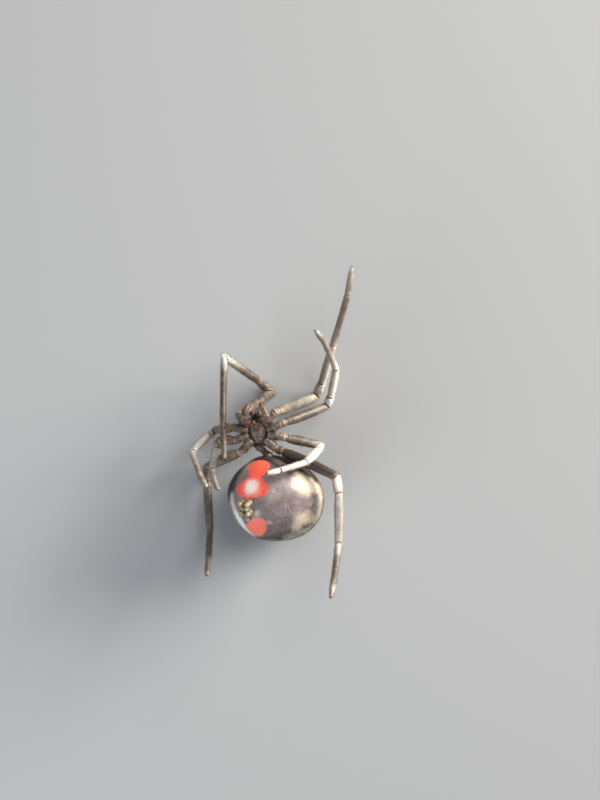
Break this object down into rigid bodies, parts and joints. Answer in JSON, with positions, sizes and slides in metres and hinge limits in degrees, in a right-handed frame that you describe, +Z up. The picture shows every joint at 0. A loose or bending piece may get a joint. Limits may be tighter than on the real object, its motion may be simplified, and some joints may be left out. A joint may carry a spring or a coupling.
{
  "type": "black widow spider",
  "caption": "Life-size still model of a female black widow spider lying on its back, belly with red hourglass turned up, legs bent over and stretched out.",
  "frame": {"origin": "on the floor below the middle of the whole spider, legs included", "axes": "+Z up from the floor the spider lies on; +Y towards the head; the spider lies on its back, so its own left legs are on the +X side"},
  "size_m": [0.0138, 0.0272, 0.0107],
  "materials": {
    "abdomen_cuticle": "satin grey-brown skin of the abdomen with fine pale hairs and a red hourglass",
    "carapace_cuticle": "satin dark brown shell of the front body",
    "jaw_cuticle": "satin reddish brown shell of the jaws and palps",
    "leg_cuticle": "satin dark brown leg shell with paler bristles and orange-brown joints"
  },
  "bodies": {
    "root": {"abdomen": "abdomen_cuticle", "cephalothorax": "carapace_cuticle", "pedicel": "carapace_cuticle", "chelicera_left": "jaw_cuticle", "chelicera_right": "jaw_cuticle", "pedipalp_left": "jaw_cuticle", "pedipalp_right": "jaw_cuticle", "leg_1_left_femur": "leg_cuticle", "leg_1_left_patella": "leg_cuticle", "leg_1_left_tibia": "leg_cuticle", "leg_1_left_metatarsus": "leg_cuticle", "leg_1_left_tarsus": "leg_cuticle", "leg_1_right_femur": "leg_cuticle", "leg_1_right_patella": "leg_cuticle", "leg_1_right_tibia": "leg_cuticle", "leg_1_right_metatarsus": "leg_cuticle", "leg_1_right_tarsus": "leg_cuticle", "leg_2_left_femur": "leg_cuticle", "leg_2_left_patella": "leg_cuticle", "leg_2_left_tibia": "leg_cuticle", "leg_2_left_metatarsus": "leg_cuticle", "leg_2_left_tarsus": "leg_cuticle", "leg_2_right_femur": "leg_cuticle", "leg_2_right_patella": "leg_cuticle", "leg_2_right_tibia": "leg_cuticle", "leg_2_right_metatarsus": "leg_cuticle", "leg_2_right_tarsus": "leg_cuticle", "leg_3_left_femur": "leg_cuticle", "leg_3_left_patella": "leg_cuticle", "leg_3_left_tibia": "leg_cuticle", "leg_3_left_metatarsus": "leg_cuticle", "leg_3_left_tarsus": "leg_cuticle", "leg_3_right_femur": "leg_cuticle", "leg_3_right_patella": "leg_cuticle", "leg_3_right_tibia": "leg_cuticle", "leg_3_right_metatarsus": "leg_cuticle", "leg_3_right_tarsus": "leg_cuticle", "leg_4_left_femur": "leg_cuticle", "leg_4_left_patella": "leg_cuticle", "leg_4_left_tibia": "leg_cuticle", "leg_4_left_metatarsus": "leg_cuticle", "leg_4_left_tarsus": "leg_cuticle", "leg_4_right_femur": "leg_cuticle", "leg_4_right_patella": "leg_cuticle", "leg_4_right_tibia": "leg_cuticle", "leg_4_right_metatarsus": "leg_cuticle", "leg_4_right_tarsus": "leg_cuticle"}
  },
  "joints": []
}
